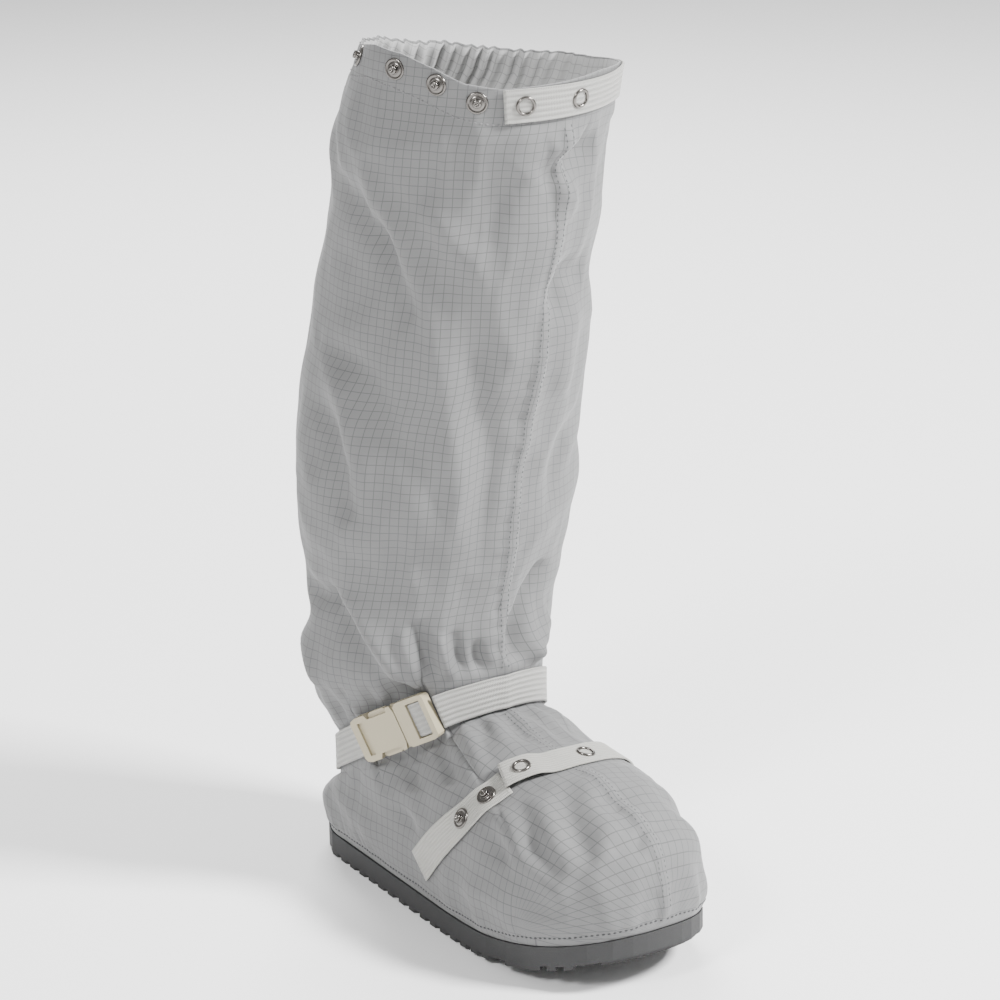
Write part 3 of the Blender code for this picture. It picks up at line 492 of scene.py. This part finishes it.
yarn_grid, grid_in, grid_out = effect_group("yarn_grid", [], ["Line", "Height"])
split = yarn_grid.nodes.new("ShaderNodeSeparateXYZ")
yarn_grid.links.new(grid_in.outputs["Place"], split.inputs[0])
lines, threads = [], []
for axis in ("X", "Y"):
    place = math_node(yarn_grid, "DIVIDE", split.outputs[axis], YARN_PITCH)
    near = math_node(yarn_grid, "PINGPONG", place, 0.5)
    narrow = math_node(yarn_grid, "SUBTRACT", 1.0, math_node(yarn_grid, "MULTIPLY", near, YARN_SHARPNESS))
    lines.append(math_node(yarn_grid, "MAXIMUM", narrow, 0.0))
    thread = math_node(yarn_grid, "MULTIPLY", split.outputs[axis], WEAVE_PITCH)
    threads.append(math_node(yarn_grid, "SINE", thread))
line = math_node(yarn_grid, "MINIMUM", math_node(yarn_grid, "MAXIMUM", *lines), 1.0)
yarn_grid.links.new(line, grid_out.inputs["Line"])
yarn_grid.links.new(math_node(yarn_grid, "MULTIPLY", *threads), grid_out.inputs["Height"])

grain, grain_in, grain_out = effect_group("grain", ["Scale", "Detail"], ["Height"])
specks = grain.nodes.new("ShaderNodeTexNoise")
grain.links.new(grain_in.outputs["Place"], specks.inputs["Vector"])
grain.links.new(grain_in.outputs["Scale"], specks.inputs["Scale"])
grain.links.new(grain_in.outputs["Detail"], specks.inputs["Detail"])
grain.links.new(specks.outputs["Fac"], grain_out.inputs["Height"])


def cloth_material(name, colour, dark):
    mat = bpy.data.materials.new(name)
    mat.use_nodes = True
    tree = mat.node_tree
    shader = tree.nodes["Principled BSDF"]
    shader.inputs["Roughness"].default_value = 0.72
    shader.inputs["Sheen Weight"].default_value = 0.15
    shader.inputs["Sheen Roughness"].default_value = 0.5
    place = tree.nodes.new("ShaderNodeAttribute")
    place.attribute_name = "cloth"
    yarns = lay_effect(tree, yarn_grid, place.outputs["Vector"])
    mix_colours(tree, math_node(tree, "MULTIPLY", yarns.outputs["Line"], YARN_DARKNESS), colour, dark)
    coords = tree.nodes.new("ShaderNodeTexCoord")
    crumple = lay_effect(tree, grain, coords.outputs["Object"], Scale=210, Detail=4)
    weave = math_node(tree, "MULTIPLY", yarns.outputs["Height"], 0.05)
    height = math_node(tree, "ADD", weave, crumple.outputs["Height"])
    raise_surface(tree, height, 0.22, 0.0006)
    return mat


outside = cloth_material("cloth", (0.138, 0.139, 0.139), (0.014, 0.014, 0.015))
# The inside copy is about three times paler than the outside: painted light for the turned-in hem and the
# lining, which lie in shade inside the collar.
painted_light_inside = cloth_material("cloth_inside_painted_light", (0.42, 0.42, 0.417), (0.08, 0.08, 0.082))
upper.data.materials.append(outside)
upper.data.materials.append(painted_light_inside)
# The turned-in hem takes the paler inside copy, as painted light.
for polygon in upper.data.polygons[(len(skin) + 2) * COLUMNS:]:
    polygon.material_index = 1


# The lining is the cloth's inner face, with the same dark yarns, seen down the collar. Here
# it is a skin of its own just inside the upper, and it keeps clear of every trough near it. Its colour is
# a copy of the cloth's about three times paler: painted light where the inside of the boot lies in shade.
WALL, HELD_WALL, HELD_REACH = 1.2, 2.3, 42
LINING_TOP, LINING_HEM = 18, 16
deepest = relief.reshape(rise.shape)
for _ in range(5):
    padded = np.concatenate([deepest[:1], deepest, deepest[-1:]])
    deepest = np.minimum(np.minimum(padded[:-2], padded[2:]), deepest)
    deepest = np.minimum(np.minimum(np.roll(deepest, 1, axis=1), np.roll(deepest, -1, axis=1)), deepest)
inner_rows = list(range(2, len(base) - LINING_TOP, 4)) + [len(base) - LINING_HEM]
inset = WALL + HELD_WALL * np.exp(-(from_strap / HELD_REACH) ** 4)
inner = ((base + normals * (deepest - inset)[:, :, None]) / 1000)[inner_rows][:, ::2]
lining = new_piece("lining", inner.reshape(-1, 3).tolist(), quads_of(*inner.shape[:2])[:, ::-1].tolist())
write_places(lining, "cloth", cloth[:len(base)][inner_rows][:, ::2].reshape(-1, 2))
lining.data.materials.append(painted_light_inside)
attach(lining, "root")


# The ankle strap is off-white woven webbing with ribs along it, 20 mm wide. It goes round the ankle
# from one end of the buckle to the other and holds the cloth's gathers.
WEB_HALF, STRAP_THICK, PAINTED_SHADE_IN_RIBS = 0.0098, 0.0015, 0.78
STRAP_OFF, STRAP_OFF_FRONT, STRAP_OFF_BUCKLE = 0.00098, 0.0009, 0.0017

ribs, ribs_in, ribs_out = effect_group("webbing_ribs", ["Ribs"], ["Height", "Shade"])
parts = ribs.nodes.new("ShaderNodeSeparateXYZ")
ribs.links.new(ribs_in.outputs["Place"], parts.inputs[0])
rib = math_node(ribs, "SINE", math_node(ribs, "MULTIPLY", parts.outputs["Y"], ribs_in.outputs["Ribs"]))
slant = math_node(ribs, "MULTIPLY", math_node(ribs, "ABSOLUTE", rib), 0.5)
slant = math_node(ribs, "ADD", parts.outputs["X"], slant)
yarn = math_node(ribs, "SINE", math_node(ribs, "MULTIPLY", slant, 7.0))
height = math_node(ribs, "ADD", rib, math_node(ribs, "MULTIPLY", yarn, 0.35))
# Painted shade: the colour darkens in the ribs' troughs, where shade falls between them.
shade = math_node(ribs, "MAXIMUM", math_node(ribs, "MULTIPLY", height, -0.5), 0.0)
ribs.links.new(height, ribs_out.inputs["Height"])
ribs.links.new(shade, ribs_out.inputs["Shade"])


def webbing_material(name, colour, ribs_per_mm, strength):
    mat = bpy.data.materials.new(name)
    mat.use_nodes = True
    tree = mat.node_tree
    shader = tree.nodes["Principled BSDF"]
    shader.inputs["Roughness"].default_value = 0.7
    shader.inputs["Sheen Weight"].default_value = 0.2
    place = tree.nodes.new("ShaderNodeAttribute")
    place.attribute_name = "web"
    woven = lay_effect(tree, ribs, place.outputs["Vector"], Ribs=ribs_per_mm)
    # The webbing's colour darkens to a painted shade in the troughs of its ribs.
    mix_colours(tree, woven.outputs["Shade"], colour, [PAINTED_SHADE_IN_RIBS * v for v in colour])
    raise_surface(tree, woven.outputs["Height"], strength, 0.0004)
    return mat


def ribbon(name, centres, outs, sides, half, thick, mat):
    """A tape along centres (its inner face), with slightly rounded long edges."""
    profile = [(-1, 0.3), (-1, 0.7), (-0.975, 1.0)]
    profile += [(s, 1.0) for s in np.linspace(-0.93, 0.93, 11)]
    profile += [(0.975, 1.0), (1, 0.7), (1, 0.3), (0.97, 0), (0.5, 0), (0, 0), (-0.5, 0), (-0.97, 0)]
    length = np.concatenate([[0], np.cumsum(np.linalg.norm(np.diff(centres, axis=0), axis=1))]) * 1000
    points, web = [], []
    for i in range(len(centres)):
        for share, lift in profile:
            points.append(tuple(centres[i] + sides[i] * half * share + outs[i] * thick * lift))
            web.append((length[i], share * half * 1000))
    n, count = len(profile), len(centres)
    faces = [(i * n + k, i * n + (k + 1) % n, (i + 1) * n + (k + 1) % n, (i + 1) * n + k)
             for i in range(count - 1) for k in range(n)]
    faces += [tuple(range(n))[::-1], tuple(range((count - 1) * n, count * n))]
    piece = new_piece(name, points, faces)
    bm = bmesh.new()
    bm.from_mesh(piece.data)
    bmesh.ops.recalc_face_normals(bm, faces=bm.faces[:])
    bm.to_mesh(piece.data)
    bm.free()
    write_places(piece, "web", web)
    piece.data.materials.append(mat)
    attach(piece, "root")
    return piece


strap_web = webbing_material("strap_web", (0.36, 0.355, 0.335), 2.05, 0.9)
angles = np.linspace(BUCKLE_FROM - 0.008, BUCKLE_TO + 0.008 - 2 * math.pi, 260)
centre, out, width = strap_path(angles)
buckle_gap = np.minimum(np.abs(angles - BUCKLE_FROM), np.abs(angles + 2 * math.pi - BUCKLE_TO))
off = (STRAP_OFF + STRAP_OFF_FRONT * np.clip(1 - np.abs(angles) / 0.12, 0, 1)
       + STRAP_OFF_BUCKLE * np.clip(1 - buckle_gap / 0.14, 0, 1))
strap = ribbon("strap", centre + out * off[:, None], out, width, WEB_HALF, STRAP_THICK, strap_web)
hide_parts("ankle_strap")


# The instep and collar tapes are thinner off-white webbing, fixed to the cloth at one end. They lie
# along their routes on the creased cloth, and the ring tape rides over the stud tape's end.
TAPE_THICK, TAPE_OFF, COLLAR_HALF = 0.0012, 0.0005, 0.0090
OVERLAP_LIFT, OVERLAP_REACH, OVERLAP_RAMP = 0.0028, 0.024, 0.006
skin_tree = BVHTree.FromPolygons(skin.reshape(-1, 3).tolist(), quads_of(len(skin), COLUMNS).tolist())


def on_skin(point):
    """The nearest place on the creased cloth, and the direction out of it."""
    place, normal, _, _ = skin_tree.find_nearest(Vector(point))
    place, normal = np.array(place), np.array(normal)
    if place[2] < 0.2:
        core = np.array([0.0, 0.03, min(place[2], 0.045)])
    else:
        core = np.array([0.0, 0.02, place[2]])
    return place, normal if normal @ (place - core) > 0 else -normal


def walk(route, step):
    """Even steps along a route given in millimetres."""
    points = np.array(route) * MM
    length = np.concatenate([[0], np.cumsum(np.linalg.norm(np.diff(points, axis=0), axis=1))])
    wanted = np.linspace(0, length[-1], round(length[-1] / step) + 1)
    return np.stack([np.interp(wanted, length, points[:, k]) for k in range(3)], 1)


def calm(values, times):
    """Evens out values along a line and keeps both ends."""
    for _ in range(times):
        values = np.concatenate([values[:1], (values[:-2] + 2 * values[1:-1] + values[2:]) / 4, values[-1:]])
    return values


def tape(name, node, route, half, mat, below=None):
    """A tape clear of the cloth's folds: gives the places, directions and heights of its outer face."""
    found = [on_skin(p) for p in walk(route, 0.0018)]
    places = calm(np.array([p for p, _ in found]), 12)
    outs = unit(calm(np.array([n for _, n in found]), 18))
    sides = unit(np.cross(outs, unit(np.gradient(places, axis=0))))
    under = walk(below, 0.002) if below else None
    rises = []
    for place, out_dir, side in zip(places, outs, sides):
        need = 0.0
        for share in (-0.95, -0.5, 0, 0.5, 0.95):
            spot = place + side * half * share
            nearest, _ = on_skin(spot)
            need = max(need, float((nearest - spot) @ out_dir))
        if below:
            gap = np.min(np.linalg.norm(under - place, axis=1))
            need += OVERLAP_LIFT * float(np.clip((OVERLAP_REACH - gap) / OVERLAP_RAMP, 0, 1))
        rises.append(need)
    rises = calm(np.array(rises), 4) + TAPE_OFF
    piece = ribbon(name, places + outs * rises[:, None], outs, sides, half, TAPE_THICK, mat)
    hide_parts(node)
    return places, outs, rises + TAPE_THICK


tape_web = webbing_material("tape_web", (0.36, 0.353, 0.325), 3.1, 0.6)
stud_face = tape("stud_tape", "instep_stud_tape", STUD_ROUTE, WEB_HALF, tape_web)
ring_face = tape("ring_tape", "instep_ring_tape", RING_ROUTE, WEB_HALF, tape_web, below=STUD_ROUTE)
collar_face = tape("collar_tape", "collar_strap", COLLAR_ROUTE, COLLAR_HALF, strap_web)


# The stitches are short raised threads sewn through the cloth: two rows down the front seam, one round
# the foot just above the sole, and one under the collar's hem.
SEAM_APART, HEM_ROW = 2.2, 19.0
PITCH, SEAM_LENGTH, ROUND_LENGTH, ROUND_RADIUS = 0.0031, 0.0022, 0.0027, 0.00050
SEAM_RADII, SEAM_COLOUR = (0.00026, 0.00030), (0.06, 0.06, 0.062)
BASE_COLOUR, HEM_COLOUR = (0.035, 0.035, 0.037), (0.15, 0.15, 0.151)
skin_normals = grid_normals(skin)


def stitches(name, points, outs, length, radius, colour):
    """A row of threads along a line on the cloth, each a low bar with pointed ends."""
    points, outs = np.array(points), np.array(outs)
    dist = np.concatenate([[0], np.cumsum(np.linalg.norm(np.diff(points, axis=0), axis=1))])
    verts, faces = [], []
    for start in np.arange(PITCH / 2, dist[-1] - length, PITCH):
        marks = [np.array([np.interp(s, dist, points[:, k]) for k in range(3)])
                 for s in (start, start + length / 3, start + 2 * length / 3, start + length)]
        up = np.array([np.interp(start, dist, outs[:, k]) for k in range(3)])
        side = unit(np.cross(up, unit(marks[-1] - marks[0])))
        first = len(verts)
        verts.append(marks[0] - up * radius * 0.6)
        for mid in (1, 2):
            for s, u in ((1, 0), (0.6, 0.8), (-0.6, 0.8), (-1, 0)):
                verts.append(marks[mid] + side * radius * s + up * radius * u)
        verts.append(marks[3] - up * radius * 0.6)
        for k in range(3):
            faces.append((first, first + 1 + k, first + 2 + k))
            faces.append((first + 1 + k, first + 5 + k, first + 6 + k, first + 2 + k))
            faces.append((first + 5 + k, first + 9, first + 6 + k))
    piece = new_piece(name, [tuple(v) for v in verts], faces)
    mat = bpy.data.materials.new(name)
    mat.use_nodes = True
    shader = mat.node_tree.nodes["Principled BSDF"]
    shader.inputs["Base Color"].default_value = (*colour, 1)
    shader.inputs["Roughness"].default_value = 0.7
    piece.data.materials.append(mat)
    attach(piece, "root")


def beside_seam(offset):
    """Skin points and normals at a distance in mm beside the front seam, row by row."""
    points, outs = [], []
    for r in range(len(skin)):
        if rise[r, 0] < 9 or from_edge[r, 0] < 22 or abs(from_strap[r, 0]) < 11:
            continue
        row = np.roll(skin[r], 20, axis=0)[:41]
        order = np.argsort(row[:, 0])
        here = [np.interp(offset * MM, row[order, 0], row[order, k]) for k in (1, 2)]
        points.append([offset * MM] + here)
        outs.append(skin_normals[r, 0])
    return points, outs


def round_boot(rows_at):
    """Skin points and normals all round, at one row with its fraction for each column."""
    points, outs = [], []
    for k in list(range(COLUMNS)) + [0]:
        row, part = int(rows_at[k]), rows_at[k] - int(rows_at[k])
        points.append(skin[row, k] * (1 - part) + skin[min(row + 1, len(skin) - 1), k] * part)
        outs.append(skin_normals[row, k])
    return points, outs


for k, offset in enumerate((-SEAM_APART, SEAM_APART)):
    points, outs = beside_seam(offset)
    gap = max(range(1, len(points)), key=lambda i: math.dist(points[i], points[i - 1]))
    for part, (radius, run) in enumerate(zip(SEAM_RADII, (slice(0, gap), slice(gap, None)))):
        stitches(f"seam_stitch_{2 * k + part}", points[run], outs[run], SEAM_LENGTH, radius, SEAM_COLOUR)
counted = np.arange(len(skin))
base_rows = [np.interp(BASE_STITCH_AT, rise[:, k], counted) for k in range(COLUMNS)]
hem_rows = [len(skin) - 1 - np.interp(HEM_ROW, from_edge[::-1, k], counted) for k in range(COLUMNS)]
stitches("base_stitch", *round_boot(base_rows), ROUND_LENGTH, ROUND_RADIUS, BASE_COLOUR)
stitches("hem_stitch", *round_boot(hem_rows), ROUND_LENGTH, ROUND_RADIUS, HEM_COLOUR)


# The side-release buckle is moulded in ivory plastic, as a socket and a plug that is pushed into it.
# Both keep the source's solids, with rounded edges and a fine moulded grain.
SHARP_ANGLE, EDGE_ANGLE = math.radians(30), math.radians(32)


def plain(name, colour, roughness, metallic=0.0, grain_values=None):
    """A one-colour material, with a grain where its scale, strength and depth are given."""
    mat = bpy.data.materials.new(name)
    mat.use_nodes = True
    tree = mat.node_tree
    shader = tree.nodes["Principled BSDF"]
    shader.inputs["Base Color"].default_value = (*colour, 1)
    shader.inputs["Roughness"].default_value = roughness
    shader.inputs["Metallic"].default_value = metallic
    if grain_values:
        scale, strength, depth = grain_values
        coords = tree.nodes.new("ShaderNodeTexCoord")
        surface = lay_effect(tree, grain, coords.outputs["Object"], Scale=scale, Detail=3)
        raise_surface(tree, surface.outputs["Height"], strength, depth)
    return mat


def finish_node(name, mat, bevel=None):
    """Gives a solid of the source its material, and rounded edges where a width is given."""
    piece = nodes[name]
    piece.data.materials.clear()
    piece.data.materials.append(mat)
    piece.data.shade_smooth()
    piece.data.set_sharp_from_angle(angle=SHARP_ANGLE)
    if bevel:
        rounding = piece.modifiers.new("edge", "BEVEL")
        rounding.width = bevel
        rounding.segments = 2
        rounding.limit_method = "ANGLE"
        rounding.angle_limit = EDGE_ANGLE


ivory = plain("ivory_plastic", (0.36, 0.317, 0.22), 0.38, grain_values=(900, 0.05, 0.0002))
finish_node("buckle_socket", ivory, bevel=0.0006)
finish_node("buckle_plug", ivory, bevel=0.0005)


# The snaps are pressed from sheet metal with a nickel finish, and clenched through the cloth or the
# tape: studs with a rolled rim and a knob, and open rings that press onto them.
STUD_PROFILE = [  # radius and height, from the rim to the knob's hollow
    (5.8, -0.3), (5.8, 0.35), (5.5, 0.75), (4.9, 0.85), (4.4, 0.55), (3.9, 0.45), (3.3, 0.95), (2.9, 1.1),
    (2.3, 0.8), (2.1, 1.0), (2.0, 2.1), (2.35, 2.7), (2.1, 3.2), (1.4, 3.4), (0.9, 3.35), (0.7, 2.7),
    (0.01, 2.6),
]
RING_PROFILE = [(3.6, -0.4), (3.6, 0.1), (3.8, 0.7), (4.45, 1.05), (5.05, 0.75), (5.35, 0.1), (5.35, -0.4)]
COLLAR_STUDS = [(-43.5, -44.2, 472.5), (-55.8, -27.5, 481), (-63.9, -2.7, 486.5), (-60.9, 32.5, 485.5)]
INSTEP_STUDS = [(-57, -36.9, 75.5), (-45.8, -46.5, 89.9)]
INSTEP_RINGS = [(-25.6, -51.8, 99.1), (12.2, -55.6, 101.1)]
COLLAR_RINGS = [(-23.2, -57.7, 471.2), (6.5, -62, 471.8)]
SNAP_SIDES, SNAP_OFF = 36, 0.1
# The snaps' colour is darkened far below bright nickel: painted dark reflections, since the white studio
# around them gives the metal none to reflect.
nickel_painted_dark = plain("nickel_painted_dark", (0.17, 0.16, 0.15), 0.24, 1.0)


def snap(name, node, spot, profile, face):
    """One snap, turned about the direction out of the tape's outer face, or out of the bare cloth."""
    place, out_dir = on_skin(np.array(spot) * MM)
    if face:
        places, outs, rises = face
        nearest = int(np.argmin(np.linalg.norm(places - place, axis=1)))
        place, out_dir = places[nearest] + outs[nearest] * rises[nearest], outs[nearest]
    out_dir = Vector(out_dir)
    side = out_dir.orthogonal().normalized()
    other = out_dir.cross(side)
    verts, faces = [], []
    for radius, height in profile:
        for k in range(SNAP_SIDES):
            t = 2 * math.pi * k / SNAP_SIDES
            verts.append(tuple(Vector(place) + (side * math.cos(t) + other * math.sin(t)) * radius * MM
                               + out_dir * (height + SNAP_OFF) * MM))
    for r in range(len(profile) - 1):
        here, above_it = r * SNAP_SIDES, (r + 1) * SNAP_SIDES
        for k in range(SNAP_SIDES):
            n = (k + 1) % SNAP_SIDES
            faces.append((here + k, here + n, above_it + n, above_it + k))
    piece = new_piece(name, verts, faces)
    piece.data.materials.append(nickel_painted_dark)
    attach(piece, "root")
    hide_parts(node)


for kind, spots, profile, face in (("collar_stud", COLLAR_STUDS, STUD_PROFILE, None),
                                   ("instep_stud", INSTEP_STUDS, STUD_PROFILE, stud_face),
                                   ("instep_ring", INSTEP_RINGS, RING_PROFILE, ring_face),
                                   ("collar_ring", COLLAR_RINGS, RING_PROFILE, collar_face)):
    for number, spot in enumerate(spots, 1):
        snap(f"{kind}_top_{number}", f"{kind}_{number}", spot, profile, face)


# The strap's end is looped through the plug. A short stretch of the same webbing shows in the plug's
# window, between its front bar and its body.
LOOP_FROM, LOOP_TO, LOOP_HEIGHT, LOOP_CROWN, LOOP_POINTS = 3.8, 13.3, 6.0, 0.9, 14
start = strap_path(np.array([BUCKLE_FROM - 1e-6]))[0][0]
far = strap_path(np.array([BUCKLE_TO + 1e-6]))[0][0]
run = unit(far - start)
out_dir = unit(np.array([-(far - start)[1], (far - start)[0], 0.0]))
width_dir = np.cross(run, out_dir)
lift = LOOP_HEIGHT + LOOP_CROWN * np.sin(np.linspace(0, math.pi, LOOP_POINTS))
along = np.linspace(LOOP_FROM, LOOP_TO, LOOP_POINTS)
loop = start + np.outer(along, run) * MM + np.outer(lift, out_dir) * MM
loop_outs, loop_sides = np.tile(out_dir, (LOOP_POINTS, 1)), np.tile(width_dir, (LOOP_POINTS, 1))
ribbon("plug_loop", loop, loop_outs, loop_sides, WEB_HALF, TAPE_THICK, strap_web)


# The insole is a thin pale board inside the boot, laid on the sole. It closes the upper's bottom.
# It keeps the source's solid.
board = plain("board", (0.50, 0.50, 0.49), 0.85, grain_values=(900, 0.4, 0.0003))
finish_node("insole", board)


# The outsole is moulded in dark grey rubber with a tread of chevrons and bars, and the upper's lower
# edge is fixed along its rim. It keeps the source's solid, with softened edges and a rubber grain.
rubber = plain("rubber", (0.0195, 0.0195, 0.02), 0.66, grain_values=(1500, 0.5, 0.0004))
finish_node("outsole", rubber, bevel=0.0003)


# A plain pale floor under soft studio light.
FLOOR_HALF = 8
corners = [(-FLOOR_HALF, -FLOOR_HALF, 0), (FLOOR_HALF, -FLOOR_HALF, 0),
           (FLOOR_HALF, FLOOR_HALF, 0), (-FLOOR_HALF, FLOOR_HALF, 0)]
floor = new_piece("floor", corners, [(0, 1, 2, 3)])
floor.data.materials.append(plain("floor", (0.92, 0.92, 0.92), 0.9))

AIR_LIGHT = 0.6
LAMPS = [  # name, place, power in watts, width
    ("key", (1.1, -1.5, 1.85), 190, 0.5),
    ("side", (-1.9, -0.7, 1.9), 50, 0.6),
    ("back", (0.8, 1.6, 1.8), 80, 1.2),
]
world = bpy.data.worlds.new("studio")
bpy.context.scene.world = world
world.use_nodes = True
world.node_tree.nodes["Background"].inputs["Color"].default_value = (1.0, 1.0, 1.0, 1)
world.node_tree.nodes["Background"].inputs["Strength"].default_value = AIR_LIGHT
for name, place, power, breadth in LAMPS:
    lamp = bpy.data.lights.new(name, "AREA")
    lamp.energy = power
    lamp.size = breadth
    lamp_object = bpy.data.objects.new(name, lamp)
    lamp_object.location = place
    lamp_object.rotation_euler = (Vector((0, 0, 0.2)) - Vector(place)).to_track_quat("-Z", "Y").to_euler()
    bpy.context.scene.collection.objects.link(lamp_object)

# The camera stands before the toe, on the outer side, and looks down on the boot at the photograph's
# angle. Its last turn puts the boot where the photograph has it in the frame.
CAMERA_AT = (-1.10165, -1.58514, 0.87124)
VIEW_TURN, VIEW_DROP, VIEW_PAN = math.radians(37.766), math.radians(18.195), math.radians(-2.884)
forward = Vector((math.cos(VIEW_DROP) * math.sin(VIEW_TURN), math.cos(VIEW_DROP) * math.cos(VIEW_TURN),
                  -math.sin(VIEW_DROP)))
right = Vector((math.cos(VIEW_TURN), -math.sin(VIEW_TURN), 0))
upright = right.cross(forward)
aim = forward * math.cos(VIEW_PAN) + right * math.sin(VIEW_PAN)
across_view = right * math.cos(VIEW_PAN) - forward * math.sin(VIEW_PAN)
camera = bpy.data.objects.new("camera", bpy.data.cameras.new("camera"))
camera.location = CAMERA_AT
camera.rotation_euler = Matrix((across_view, upright, -aim)).transposed().to_euler()
camera.data.sensor_width = 36
camera.data.lens = 133.5
bpy.context.scene.collection.objects.link(camera)
bpy.context.scene.camera = camera
